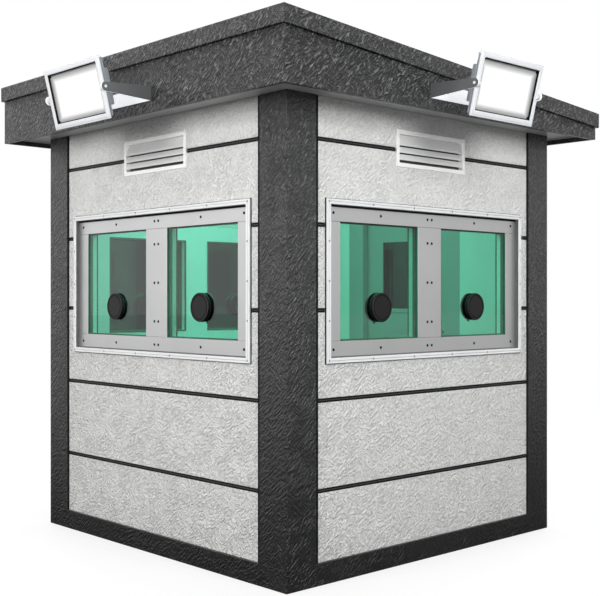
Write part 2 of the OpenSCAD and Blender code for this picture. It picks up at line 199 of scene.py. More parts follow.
def makePanelCoat():
    coat = Finish("offWhiteStuccoCoat")
    relief = wrinkles(coat, panelLook)
    cloud = coat.noise(2.1, 3.0)
    streak = coat.noise(5, 3.0, 0.0, coat.join(coat.x * 6, coat.y * 6, coat.z * 0.5))
    # painted shade in the valleys of the relief, stronger lower down
    body = coat.blend((1 - relief).ramp(0.35, 1.0) * (0.5 - coat.z * 0.08) + cloud * 0.05, panelLook["light"],
                      panelLook["dark"])
    grime = streak.ramp(0.52, 0.8) * 0.05 + (0.28 - coat.z).ramp(0.0, 0.2) * cloud * 0.12
    colour = coat.blend(grime, body, tone(0.46, 0.45, 0.42))
    return coat.done(coat.surface(Base_Color=colour, Roughness=cloud * 0.1 + panelLook["rough"],
                                  Normal=coat.bump(relief * (1.35 - coat.z * 0.22), panelLook["depth"])))


liningLook = {"paint": tone(0.74, 0.74, 0.71), "door": tone(0.34, 0.34, 0.33), "wallEdge": 0.8925,
              "doorEdge": 0.9425}


# One surface outside and smooth light paint on what lies nearer the room than a given distance
def makeSplit(name, outside, lining, edge, rough=0.45, gloss=0.5):
    split = Finish(name)
    orange, cloud = split.noise(260, 2.0), split.noise(1.3, 3.0)
    outer = split.blend(cloud, outside, tone(*[value * 1.5 for value in outside[:3]]))
    inner = split.blend(cloud, tone(*[value * 0.88 for value in lining[:3]]), lining)
    colour = split.blend(split.reach() > edge, inner, outer)
    return split.done(split.surface(Base_Color=colour, Roughness=cloud * 0.1 + rough,
                                    Specular_IOR_Level=gloss, Normal=split.bump(orange, 0.0003)))


# Smooth sprayed paint with a faint orange peel, handled grime and rubbed edges, and a glow where one is given,
# which is painted light
def makePaint(name, light, dark, rough, peel=340, metal=0.0, glow=0.0):
    paint = Finish(name)
    cloud = paint.noise(3.1, 4.0)
    skin = paint.noise(peel, 2.0)
    speck = paint.noise(46, 5.0).ramp(0.66, 0.78)
    colour = paint.blend(cloud.ramp(0.25, 0.8) * 0.8 + speck * 0.2, light, dark)
    return paint.done(paint.surface(Base_Color=colour, Roughness=cloud * 0.14 + (rough - 0.06) + speck * 0.08,
                                    Normal=paint.bump(skin, 0.0003), Metallic=metal,
                                    Emission_Color=light, Emission_Strength=glow))


# Brushed metal, with the lay of the brush along the height
def makeBrushed(name, light, dark, rough):
    metal = Finish(name)
    lay = metal.noise(90, 2.0, 0.0, metal.join(metal.x * 5, metal.y * 5, metal.z * 0.3))
    cloud = metal.noise(6, 3.0)
    colour = metal.blend(lay * 0.5 + cloud * 0.5, dark, light)
    return metal.done(metal.surface(Base_Color=colour, Roughness=lay * 0.2 + rough, Metallic=1.0,
                                    Normal=metal.bump(lay, 0.0002)))


glassLook = {"tint": tone(0.17, 0.85, 0.58), "lamps": tone(0.62, 0.74, 0.70), "ior": 1.5}


# Glass that lets lamps through, so that the room behind it is lit
def makeGlass(name, tint, lamps):
    glass = Finish(name)
    smear = glass.noise(4, 4.0, 0.6)
    clear = glass.surface(Base_Color=tint, Roughness=smear.ramp(0.5, 0.95) * 0.03, IOR=glassLook["ior"],
                          Transmission_Weight=1.0)
    through = glass.node("ShaderNodeBsdfTransparent", {}, {"Color": lamps})
    return glass.done(glass.byRay("Shadow", clear, through))


def makePortBlack():
    black = Finish("satinBlack")
    turned = black.noise(420, 2.0)
    wear = black.noise(30, 4.0).ramp(0.62, 0.8)
    colour = black.blend(wear * 0.5, grey(0.010), tone(0.03, 0.03, 0.031))
    return black.done(black.surface(Base_Color=colour, Roughness=wear * 0.15 + 0.42, Specular_IOR_Level=0.2,
                                    Normal=black.bump(turned, 0.0002)))


bracketLook = {"shadedArmFace": 0.2512, "boltSpread": 0.13, "boltSeat": 0.005}


# The arms of a bracket are darker on their outer faces than its base strip: lit and shaded copies of one paint,
# with painted shade on the arms and a painted glow on the strip
def makeBracket():
    steel = Finish("bracketPaint")
    outer = steel.reach("MINIMUM") > bracketLook["shadedArmFace"]
    cloud = steel.noise(12, 4.0)
    light = steel.blend(cloud, tone(0.88, 0.89, 0.90), tone(0.78, 0.79, 0.81))
    dark = steel.blend(cloud, tone(0.085, 0.09, 0.092), tone(0.14, 0.145, 0.147))
    colour = steel.blend(outer, light, dark)
    glow = steel.blend(outer, tone(0.56, 0.57, 0.58), grey(0))  # painted light: the base strip glows as if the lamps lit it from behind
    return steel.done(steel.surface(Base_Color=colour, Roughness=cloud * 0.15 + 0.3, Emission_Color=glow,
                                    Emission_Strength=1.0, Normal=steel.bump(steel.noise(300, 2.0), 0.0002)))


# Frosted cover, brightest on its flat middle, where the lamp's own attribute says; its darker lip and slopes are
# painted shade of the recess
def makeDiffuser():
    opal = Finish("opalDiffuser")
    middle = opal.node("ShaderNodeAttribute", {"attribute_name": "middle"}, output="Fac")
    frost = opal.noise(500, 2.0)
    colour = opal.blend(middle, grey(0.20), grey(0.92))
    glow = opal.blend(middle.ramp(0.4, 1.0), grey(0), grey(1))
    return opal.done(opal.surface(Base_Color=colour, Roughness=opal.noise(7, 2.0) * 0.1 + 0.25,
                                  Normal=opal.bump(frost, 0.0002), Emission_Color=glow,
                                  Emission_Strength=0.35))


def makeFloorPlate():
    plate = Finish("studdedRubberFloor")
    studs = plate.node("ShaderNodeTexVoronoi", {"feature": "F1"},
                       {"Vector": plate.place, "Scale": 42.0, "Randomness": 0.0})
    dot = 1 - studs.ramp(0.22, 0.34)
    dust = plate.noise(5, 5.0)
    colour = plate.blend(dust.ramp(0.35, 0.8), grey(0.12), tone(0.20, 0.195, 0.185))
    return plate.done(plate.surface(Base_Color=colour, Roughness=dust * 0.2 + 0.6,
                                    Normal=plate.bump(dot, 0.002)))


def makeRubber(name, dark, light):
    rubber = Finish(name)
    grain = rubber.noise(600, 3.0)
    colour = rubber.blend(rubber.noise(20, 3.0), dark, light)
    return rubber.done(rubber.surface(Base_Color=colour, Roughness=0.7, Specular_IOR_Level=0.15,
                                      Normal=rubber.bump(grain, 0.0002)))


finishes = {
    "dark_coating": makeDarkCoat(),
    "light_panel": makePanelCoat(),
    "wallCore": makeSplit("wallCoreAndLining", grey(0.008), liningLook["paint"], liningLook["wallEdge"],
                          gloss=0.15),
    "doorSkin": makeSplit("doorSkinAndLining", tone(0.045, 0.045, 0.046), liningLook["door"],
                          liningLook["doorEdge"], 0.4),
    "window_rim": makePaint("satinRimPaint", tone(0.86, 0.87, 0.875), tone(0.78, 0.79, 0.80), 0.34),
    "cover_plate": makePaint("palePlateSteel", grey(0.585), tone(0.54, 0.542, 0.545), 0.42, metal=0.8),
    "armoured_glass": makeGlass("armouredGreenGlass", glassLook["tint"], glassLook["lamps"]),
    "door_glass": makeGlass("smokedDoorGlass", tone(0.07, 0.28, 0.20), tone(0.3, 0.40, 0.35)),
    "port_black": makePortBlack(),
    # the vent's white paint glows a little: painted light that keeps it bright under the eaves
    "white_paint": makePaint("whiteVentPaint", tone(0.92, 0.92, 0.91), tone(0.86, 0.86, 0.85), 0.36,
                             glow=0.1),
    "floor_plate": makeFloorPlate(),
    "soffit_paint": makeSplit("eavesAndCeilingPaint", grey(0.42), liningLook["paint"], 0.95, 0.3),
    "bracket_steel": makeBracket(),
    "lamp_metal": makePaint("lampCastPaint", tone(0.82, 0.83, 0.85), tone(0.72, 0.73, 0.76), 0.32),
    "lamp_diffuser": makeDiffuser(),
    "door_hardware": makeBrushed("brushedHardware", tone(0.62, 0.62, 0.61), grey(0.45), 0.28),
    "door_paint": makePaint("charcoalDoorPaint", tone(0.085, 0.088, 0.092), tone(0.06, 0.062, 0.066), 0.42),
    # black rubber for real seals, also used for dark discs, liners and strips that are painted shade
    "screwShade": makeRubber("blackRubber", grey(0.004), grey(0.010)),
    "greenSeal": makeRubber("paneSealRubber", tone(0.02, 0.10, 0.065), tone(0.04, 0.15, 0.095)),
    "rimShade": makeRubber("rimGasket", grey(0.12), grey(0.17)),
    "ventShade": makeRubber("ventMesh", grey(0.10), grey(0.14)),
    "ventBlade": makePaint("ventBladePaint", tone(0.80, 0.80, 0.79), tone(0.74, 0.74, 0.73), 0.4),
    "screwBlack": makePaint("blackenedScrew", grey(0.008), grey(0.005), 0.18),
    "lampBody": makePaint("lampBodyPaint", tone(0.30, 0.33, 0.36), tone(0.20, 0.22, 0.24), 0.3, metal=0.4),
    "jointBead": makePaint("jointBeadCoat", grey(0.05), grey(0.03), 0.45),
}
print("finishes made:", len(finishes))


# A finished piece: its place is in its mesh, it rides a body and it may stand for CAD nodes
def addPiece(name, mesh, node, finish=None, matrix=None, replaces=(), bevel=0.0, smooth=40):
    if matrix is not None:
        mesh.transform(matrix)
    if finish is not None:
        mesh.materials.clear()
        mesh.materials.append(finishes[finish])
    piece = bpy.data.objects.new(name, mesh)
    bpy.context.scene.collection.objects.link(piece)
    mesh.polygons.foreach_set("use_smooth", [True] * len(mesh.polygons))
    if bevel:
        soften = piece.modifiers.new("edges", "BEVEL")
        soften.width, soften.segments, soften.limit_method = bevel, 2, "ANGLE"
        soften.angle_limit = math.radians(smooth)
        even = piece.modifiers.new("normals", "WEIGHTED_NORMAL")
        even.keep_sharp = True
    else:
        mesh.set_sharp_from_angle(angle=math.radians(smooth))
    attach(piece, bodyOf[node])
    if replaces:
        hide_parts(*replaces)
    return piece


def newMesh(name, build):
    work = bmesh.new()
    build(work)
    bmesh.ops.recalc_face_normals(work, faces=work.faces)
    mesh = bpy.data.meshes.new(name)
    work.to_mesh(mesh)
    work.free()
    return mesh


# The CAD solid itself, merged and with its flat faces made whole, ready for soft edges
def solidCopy(node):
    def build(work):
        work.from_mesh(nodes[node].data)
        bmesh.ops.remove_doubles(work, verts=work.verts, dist=1e-5)
        bmesh.ops.dissolve_limit(work, angle_limit=math.radians(0.6), verts=work.verts, edges=work.edges)
    return newMesh(node, build)


def stand(node, finish=None, bevel=0.002):
    return addPiece(node + "Piece", solidCopy(node), node, finish or slotOf[node], replaces=[node],
                    bevel=bevel)


# A mitred frame: a closed profile of (inset, y) points swept round a rectangle in the XZ plane
def mitredFrame(name, low, high, profile):
    def build(work):
        rings = []
        for inset, y in profile:
            corners = ((low[0] + inset, low[1] + inset), (high[0] - inset, low[1] + inset),
                       (high[0] - inset, high[1] - inset), (low[0] + inset, high[1] - inset))
            rings.append([work.verts.new((x, y, z)) for x, z in corners])
        for ring, after in zip(rings, rings[1:] + rings[:1]):
            for corner in range(4):
                follow = (corner + 1) % 4
                work.faces.new((ring[corner], ring[follow], after[follow], after[corner]))
    return newMesh(name, build)


# A turned solid about a line along Y: its outline is (radius, y) points from one end of the line to the other
def turnedSolid(name, outline, centre, steps=48):
    def build(work):
        rings = []
        for radius, y in outline:
            if radius == 0:
                rings.append([work.verts.new((centre[0], y, centre[1]))])
                continue
            angles = [2 * math.pi * step / steps for step in range(steps)]
            rings.append([work.verts.new((centre[0] + radius * math.cos(a), y,
                                          centre[1] + radius * math.sin(a))) for a in angles])
        for ring, after in zip(rings, rings[1:]):
            for step in range(steps):
                follow = (step + 1) % steps
                corners = [ring[step % len(ring)], ring[follow % len(ring)], after[follow % len(after)],
                           after[step % len(after)]]
                work.faces.new(list(dict.fromkeys(corners)))
    return newMesh(name, build)


def boxInto(work, low, high):
    made = bmesh.ops.create_cube(work, size=1.0)["verts"]
    size = [b - a for a, b in zip(low, high)]
    centre = [(a + b) / 2 for a, b in zip(low, high)]
    bmesh.ops.scale(work, vec=size, verts=made)
    bmesh.ops.translate(work, vec=centre, verts=made)


def boxMesh(name, *boxes):
    def build(work):
        for low, high in boxes:
            boxInto(work, low, high)
    return newMesh(name, build)


# A closed outline drawn on two axes and carried along the third from start to end, once for each run
def carried(name, outline, axis, runs):
    def build(work):
        for start, end in runs:
            ends = []
            for place in (start, end):
                corners = []
                for point in outline:
                    corner = list(point)
                    corner.insert(axis, place)
                    corners.append(work.verts.new(corner))
                ends.append(corners)
            count = len(outline)
            for corner in range(count):
                follow = (corner + 1) % count
                work.faces.new((ends[0][corner], ends[0][follow], ends[1][follow], ends[1][corner]))
            work.faces.new(ends[0])
            work.faces.new(ends[1][::-1])
    return newMesh(name, build)


def joined(name, meshes):
    def build(work):
        for mesh in meshes:
            work.from_mesh(mesh)
    return newMesh(name, build)


def turnMatrix(side):
    return Matrix.Rotation(math.radians(turnOf[side]), 4, "Z")


class Tree(Graph):  # one geometry node group with named inputs
    def __init__(self, name, inputs):
        super().__init__(bpy.data.node_groups.new(name, "GeometryNodeTree"))
        self.tree.interface.new_socket("Geometry", in_out="INPUT", socket_type="NodeSocketGeometry")
        for title, kind, value in inputs:
            made = self.tree.interface.new_socket(title, in_out="INPUT", socket_type="NodeSocket" + kind)
            if value is not None:
                made.default_value = value
        self.tree.interface.new_socket("Geometry", in_out="OUTPUT", socket_type="NodeSocketGeometry")
        start = self.tree.nodes.new("NodeGroupInput")
        self.value = {socket.name: Wire(self, socket) for socket in start.outputs if socket.name}

    # the shape on each of the mesh's points, as plain mesh in the given paint
    def onPoints(self, shape, turn=(0, 0, 0)):
        placed = self.node("GeometryNodeInstanceOnPoints", {},
                           {"Points": self.value["Geometry"], "Instance": shape, "Rotation": turn})
        real = self.node("GeometryNodeRealizeInstances", {}, {"Geometry": placed})
        painted = self.node("GeometryNodeSetMaterial", {}, {"Geometry": real,
                                                            "Material": self.value["Paint"]})
        self.node("NodeGroupOutput", {}, {0: painted})
        return self.tree


# Runs a tree on a mesh and hands back the plain mesh it makes
def grow(name, mesh, group, values):
    carrier = bpy.data.objects.new(name, mesh)
    bpy.context.scene.collection.objects.link(carrier)
    modifier = carrier.modifiers.new("grow", "NODES")
    modifier.node_group = group
    for item in group.interface.items_tree:
        if item.in_out == "INPUT" and item.name in values:
            modifier[item.identifier] = values[item.name]
    bpy.context.view_layer.update()
    evaluated = carrier.evaluated_get(bpy.context.evaluated_depsgraph_get())
    result = bpy.data.meshes.new_from_object(evaluated)
    bpy.data.objects.remove(carrier)
    return result


def pointMesh(points):
    mesh = bpy.data.meshes.new("points")
    mesh.from_pydata([tuple(point) for point in points], [], [])
    return mesh


# An upright disc, cone or prism on each point, turned at random about its own line
def makeDiscTree():
    tree = Tree("discsOnPoints", [("Sides", "Int", 14), ("Top", "Float", 0.004), ("Bottom", "Float", 0.005),
                                  ("Depth", "Float", 0.002), ("Seed", "Int", 3), ("Paint", "Material", None)])
    value = tree.value
    disc = tree.node("GeometryNodeMeshCone", {}, {"Vertices": value["Sides"], "Radius Top": value["Top"],
                                                  "Radius Bottom": value["Bottom"], "Depth": value["Depth"]})
    upright = tree.node("GeometryNodeTransform", {}, {"Geometry": disc, "Rotation": (math.pi / 2, 0, 0)})
    spin = tree.node("FunctionNodeRandomValue", {}, {"Max": 6.28, "Seed": value["Seed"]}, 1)
    return tree.onPoints(upright, tree.join(0, spin, 0))


# A stack of thin bars from the mesh's own points, each a slanted blade with an upright lip on its front edge
def makeSlatTree():
    tree = Tree("slatStack", [("Width", "Float", 0.49), ("Depth", "Float", 0.02), ("Slope", "Float", 0.7),
                              ("Lip", "Float", 0.008), ("Paint", "Material", None)])
    value, thick = tree.value, 0.002
    blade = tree.node("GeometryNodeMeshCube", {}, {"Size": tree.join(value["Width"], value["Depth"], thick)})
    half, slope = value["Depth"] * 0.5, value["Slope"]
    shift = tree.join(0, half * slope.math("COSINE"), half * slope.math("SINE"))
    blade = tree.node("GeometryNodeTransform", {}, {"Geometry": blade, "Rotation": tree.join(slope, 0, 0),
                                                    "Translation": shift})
    lip = tree.node("GeometryNodeMeshCube", {}, {"Size": tree.join(value["Width"], thick, value["Lip"])})
    return tree.onPoints(tree.node("GeometryNodeJoinGeometry", {}, {0: [blade, lip]}))


# Upright fins, one on each point
def makeFinTree():
    tree = Tree("coolingFins", [("Thickness", "Float", 0.003), ("Depth", "Float", 0.02),
                                ("Height", "Float", 0.15), ("Paint", "Material", None)])
    value = tree.value
    size = tree.join(value["Thickness"], value["Depth"], value["Height"])
    return tree.onPoints(tree.node("GeometryNodeMeshCube", {}, {"Size": size}))


discTree, slatTree, finTree = makeDiscTree(), makeSlatTree(), makeFinTree()


# Screws on a flat face that looks along -Y: a countersink, a low head and a hexagon drive; the drive, and on most
# screws the countersink, is a dark flat disc: painted shade of its hollow
def screws(name, points, node, settings, matrix=None):
    radius, height = settings["radius"], settings["height"]
    layers = (("Sinks", 14, 1.85, 1.85, 0.3, settings["sink"]),
              ("Heads", 14, 0.72, 1.0, 1.0, settings["head"]), ("Drives", 6, 0.42, 0.42, 1.06, "screwShade"))
    for layer, sides, top, bottom, depth, finish in layers:
        values = {"Sides": sides, "Top": radius * top, "Bottom": radius * bottom, "Depth": height * depth,
                  "Seed": settings["seed"], "Paint": finishes[finish]}
        mesh = grow(name + layer, pointMesh(points), discTree, values)
        addPiece(name + layer, mesh, node, matrix=matrix, smooth=30)


for node in ("base_frame", "post_front_left", "post_front_right", "post_back_left", "post_back_right"):
    stand(node, bevel=0.0012)
for node in ("front_wall", "right_wall", "left_wall", "back_wall_left", "back_wall_right", "back_wall_head"):
    stand(node, "wallCore", bevel=0.001)
for side in turnOf:
    stand(side + "_cladding", bevel=0.0025)
stand("floor_panel", bevel=0.002)
stand("roof_deck", bevel=0.001)


# One mitred band round the eaves, whose top follows the fall of the roof
def makeFascia():
    low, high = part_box("roof_fascia")
    corners = [vertex.co for vertex in nodes["roof_fascia"].data.vertices]
    frontTop = max(corner.z for corner in corners if corner.y < low.y + 0.001)
    backTop = max(corner.z for corner in corners if corner.y > high.y - 0.001)
    thickness = 0.025

    def build(work):
        rings = []
        for inset, top in ((0, False), (0, True), (thickness, True), (thickness, False)):
            ring = []
            for x, y in ((-1, -1), (1, -1), (1, 1), (-1, 1)):
                place = (x * (high.x - inset), y * (high.y - inset))
                share = (place[1] - low.y) / (high.y - low.y)
                level = frontTop + (backTop - frontTop) * share if top else low.z
                ring.append(work.verts.new((*place, level)))
            rings.append(ring)
        for ring, after in zip(rings, rings[1:] + rings[:1]):
            for corner in range(4):
                follow = (corner + 1) % 4
                work.faces.new((ring[corner], ring[follow], after[follow], after[corner]))
    addPiece("eavesBand", newMesh("eavesBand", build), "roof_fascia", "dark_coating",
             replaces=["roof_fascia"], bevel=0.002)


makeFascia()
stand("roof_cap", "dark_coating", bevel=0.003)


# Beads in the grooves between the panels, and black seals where the panels meet the posts; a seal is partly a real
# joint and partly painted shade, its proud edge covering the shaded side of the post
jointLook = {"gap": 0.020, "bead": 0.0022, "proud": 0.0045, "seal": 0.006, "cornerSeal": 0.024,
             "postShadeProud": 0.0095}


def makeJoints(side):
    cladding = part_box("front_cladding")
    core, face = -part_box("front_wall")[0].y, -cladding[0].y
    span = cladding[1].x
    levels = sorted({round(vertex.co.z, 4) for vertex in nodes[side + "_cladding"].data.vertices})
    pairs = zip(levels, levels[1:])
    grooves = [(low + high) / 2 for low, high in pairs if abs(high - low - jointLook["gap"]) < 0.0006]
    holes = [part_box("front_window_frame"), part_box("front_vent")] if side != "back" else [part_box("door_frame")]
    thick, proud, seal = jointLook["bead"], jointLook["proud"], jointLook["seal"]
    beads = []
    for level in grooves:
        edge = max([hole[1].x for hole in holes if hole[0].z - 0.01 < level < hole[1].z + 0.01], default=None)
        runs = [(-span, span)] if edge is None else [(-span, -edge), (edge, span)]
        outline = [(-core + 0.0005, level - thick), (-core - proud * 0.6, level - thick),
                   (-core - proud, level - thick * 0.5), (-core - proud, level + thick * 0.5),
                   (-core - proud * 0.6, level + thick), (-core + 0.0005, level + thick)]
        beads.append(carried("bead", outline, 0, runs))
    addPiece(side + "GrooveBeads", joined("beads", beads), side + "_cladding", "jointBead",
             matrix=turnMatrix(side), smooth=50)
    base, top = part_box("front_wall")[0].z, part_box("front_wall")[1].z
    seals = []
    for way in (-1, 1):
        wide = jointLook["cornerSeal"] if (side, way) in (("front", 1), ("right", -1)) else seal
        outline = [(way * (span + 0.0005), 0.0005 - face), (way * (span - wide), 0.0005 - face),
                   (way * (span - wide + 0.001), -face - 0.001), (way * (span - 0.003), -face - 0.002),
                   (way * (span + 0.0005), -face - jointLook["postShadeProud"])]
        seals.append(carried("seal", outline, 2, [(base, top)]))
    addPiece(side + "PostSealsAndShade", joined("seals", seals), side + "_cladding", "screwShade",
             matrix=turnMatrix(side), smooth=50)


for side in turnOf:
    makeJoints(side)
print("body made")


windowLook = {"rimWidth": 0.025, "bead": 0.0016, "sidePlate": 0.085, "endPlate": 0.075, "mullion": 0.18,
              "beads": ((0.0008, 0.0105), (0.0130, 0.0242)), "seal": 0.0018, "innerSeal": 0.006,
              "topShadowStrip": 0.009, "rimBays": 5, "sideBays": 4, "plateRow": 0.036,
              "plateColumns": (0.685, 0.363, 0.0165), "mullionColumn": 0.0165,
              "mullionRows": (-0.196, 0.0, 0.196)}
rimScrews = {"radius": 0.0026, "height": 0.0016, "seed": 5, "head": "window_rim", "sink": "rimShade"}
plateScrews = {"radius": 0.0038, "height": 0.0026, "seed": 9, "head": "screwBlack", "sink": "screwShade"}


def makeWindow(side):
    frameLow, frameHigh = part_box("front_window_frame")
    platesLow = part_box("front_window_plates")[0]
    face, turn = frameLow.y, turnMatrix(side)
    stand(side + "_window_frame", bevel=0.0015)
    stand(side + "_window_plates", bevel=0.0014)
    stand(side + "_window_glass", bevel=0.001)

    # two low beads along the rim with a grey line between them, mitred at the corners; the grey line is painted
    # shade in the groove
    rim, bead = windowLook["rimWidth"], windowLook["bead"]
    low, high = (frameLow.x, frameLow.z), (frameHigh.x, frameHigh.z)
    beads = []
    for start, end in windowLook["beads"]:
        outline = [(start, face + 0.001), (start, face - bead * 0.4), (start + 0.0015, face - bead),
                   (end - 0.0015, face - bead), (end, face - bead * 0.4), (end, face + 0.001)]
        beads.append(mitredFrame("rimBead", low, high, outline))
    addPiece(side + "RimBeads", joined("rimBeads", beads), side + "_window_frame", "window_rim", matrix=turn,
             smooth=20)
    start, end = windowLook["beads"][0][1], windowLook["beads"][1][0]
    outline = [(start - 0.0005, face + 0.0005), (start - 0.0005, face - 0.0003),
               (end + 0.0005, face - 0.0003), (end + 0.0005, face + 0.0005)]
    addPiece(side + "RimGrooveShade", mitredFrame("rimGrooveShade", low, high, outline), side + "_window_frame",
             "cover_plate", matrix=turn, smooth=20)

    # a black seal where the rim meets the panels and a deeper one under its top, painted shade and painted shadow,
    # and a grey gasket inside it, painted shade on the rim's inner reveal
    outline = [(-0.0030, face + 0.0135), (-0.0030, face + 0.0100), (-0.0012, face + 0.0070),
               (0.0003, face + 0.0070), (0.0003, face + 0.0135)]
    seal = mitredFrame("rimShadeSeal", low, high, outline)
    reach, top, drop = frameHigh.x - rim, frameHigh.z - rim, windowLook["topShadowStrip"]
    strip = boxMesh("topShadowStrip", ((-reach, platesLow.y - 0.006, top - drop),
                                (reach, platesLow.y + 0.001, top + 0.0005)))
    addPiece(side + "RimShadeSeals", joined("rimShadeSeals", [seal, strip]), side + "_window_frame", "screwShade",
             matrix=turn, smooth=20)
    start, end = rim - 0.0004, rim + 0.0012
    outline = [(start, face + 0.0012), (end, face + 0.0018), (end, platesLow.y - 0.004),
               (end + 0.004, platesLow.y - 0.001), (end + 0.004, platesLow.y + 0.0004),
               (start, platesLow.y + 0.0004)]
    addPiece(side + "RimRevealShade", mitredFrame("rimGasket", low, high, outline), side + "_window_frame",
             "rimShade", matrix=turn, smooth=20)

    # green seals round each pane, from the plates' cut edges to behind the glass, and green trims inside
    seals, trims = [], []
    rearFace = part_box("front_window_glass")[1].y
    for way in (-1, 1):
        middle = way * (windowLook["mullion"] / 2 + (frameHigh.x - rim - windowLook["sidePlate"])) / 2
        width = frameHigh.x - rim - windowLook["sidePlate"] - windowLook["mullion"] / 2
        paneLow = (middle - width / 2, frameLow.z + rim + windowLook["endPlate"])
        paneHigh = (middle + width / 2, frameHigh.z - rim - windowLook["endPlate"])
        seal, inner = windowLook["seal"], windowLook["innerSeal"]
        outline = [(0.0002, rearFace + 0.004), (0.0002, platesLow.y + 0.001), (seal, platesLow.y + 0.0035),
                   (seal, rearFace - 0.0002), (inner, rearFace - 0.0002), (inner, rearFace + 0.002),
                   (inner - 0.002, rearFace + 0.004)]
        seals.append(mitredFrame("seal", paneLow, paneHigh, outline))
        outline = [(-0.007, frameHigh.y - 0.0005), (-0.007, frameHigh.y + 0.002),
                   (-0.001, frameHigh.y + 0.003), (0.0008, frameHigh.y + 0.002),
                   (0.0008, frameHigh.y - 0.006), (-0.0005, frameHigh.y - 0.006)]
        trims.append(mitredFrame("trim", paneLow, paneHigh, outline))
    addPiece(side + "PaneSeals", joined("seals", seals), side + "_window_plates", "greenSeal",
             matrix=turn)
    addPiece(side + "InnerTrims", joined("trims", trims), side + "_window_frame", "greenSeal",
             matrix=turn)

    rimMiddle = frameHigh.x - rim / 2
    rimLevels = (frameLow.z + rim / 2, frameHigh.z - rim / 2)
    bays, sideBays, rise = windowLook["rimBays"], windowLook["sideBays"], rimLevels[1] - rimLevels[0]
    points = [(-rimMiddle + 2 * rimMiddle * step / bays, face - bead, level) for step in range(bays + 1)
              for level in rimLevels]
    points += [(way * rimMiddle, face - bead, rimLevels[0] + rise * step / sideBays) for way in (-1, 1)
               for step in range(1, sideBays)]
    screws(side + "RimScrews", points, side + "_window_frame", rimScrews, turn)

    plate = platesLow.y
    rows = (frameHigh.z - rim - windowLook["plateRow"], frameLow.z + rim + windowLook["plateRow"])
    points = [(way * x, plate, level) for x in windowLook["plateColumns"] for way in (-1, 1)
              for level in rows]
    middleLevel = (frameLow.z + frameHigh.z) / 2
    points += [(way * windowLook["mullionColumn"], plate, middleLevel + lift) for way in (-1, 1)
               for lift in windowLook["mullionRows"]]
    screws(side + "PlateScrews", points, side + "_window_plates", plateScrews, turn)


portLook = {"radius": 0.0705, "level": 0.1527, "cap": 0.0205, "groove": 0.0015, "neck": 0.045,
            "flange": 0.012}


def makePorts(side):
    low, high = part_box("front_gun_ports")
    glassLow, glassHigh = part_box("front_window_glass")
    outer, inner = glassLow.y, glassHigh.y
    radius, level = portLook["radius"], glassLow.z + portLook["level"]
    spread = (high.x - low.x) / 2 - radius
    cap = outer - portLook["cap"] + 0.001
    groove = portLook["groove"]
    outline = [(0, cap + 0.0006), (0.0545, cap + 0.0006), (0.0555, cap + groove + 0.002),
               (0.0605, cap + groove + 0.002), (0.0615, cap + 0.0008), (0.0670, cap), (0.0695, cap + 0.001),
               (radius, cap + 0.003), (radius, cap + 0.0070), (0.0690, cap + 0.0078), (0.0560, cap + 0.0080),
               (0.0560, cap + 0.0130), (0.0690, cap + 0.0132), (radius, cap + 0.0140),
               (radius, outer - 0.0012), (0.069, outer - 0.0004), (portLook["neck"], outer - 0.0004),
               (portLook["neck"], inner + 0.0004), (radius, inner + 0.0004), (radius, inner + 0.009),
               (radius - 0.003, inner + portLook["flange"]), (0.05, inner + portLook["flange"]),
               (0.048, inner + 0.018), (0.02, inner + 0.02), (0, inner + 0.02)]
    # black rings in the cap's groove: painted shade
    ring = [(0.0550, cap + groove + 0.0025), (0.0550, cap + 0.0014), (0.0610, cap + 0.0014),
            (0.0610, cap + groove + 0.0025)]
    rings = [turnedSolid("ring", ring, (way * spread, level)) for way in (-1, 1)]
    addPiece(side + "PortGrooveShade", joined("rings", rings), side + "_gun_ports", "screwShade",
             matrix=turnMatrix(side), smooth=25)
    meshes = []
    for way in (-1, 1):
        meshes.append(turnedSolid("port", outline, (way * spread, level)))
        knobPlace = (way * spread, level - radius + 0.015)
        knob = [(0, inner + 0.01), (0.004, inner + 0.01), (0.004, inner + 0.02), (0.008, inner + 0.022),
                (0.009, inner + 0.028), (0.007, inner + 0.031), (0, inner + 0.0315)]
        meshes.append(turnedSolid("knob", knob, knobPlace, 20))
        meshes.append(boxMesh("latch", ((way * spread - 0.007, inner + 0.012, level - 0.078),
                                        (way * spread + 0.007, inner + 0.016, level - 0.02))))
    addPiece(side + "GunPorts", joined("ports", meshes), side + "_gun_ports", "port_black",
             matrix=turnMatrix(side), replaces=[side + "_gun_ports"], smooth=25)


ventLook = {"border": 0.020, "lip": 0.0095, "pitch": 0.035, "lowest": 0.0385, "blade": 0.0285, "slope": 1.08,
            "topBlade": 0.053, "topSlope": 1.26}


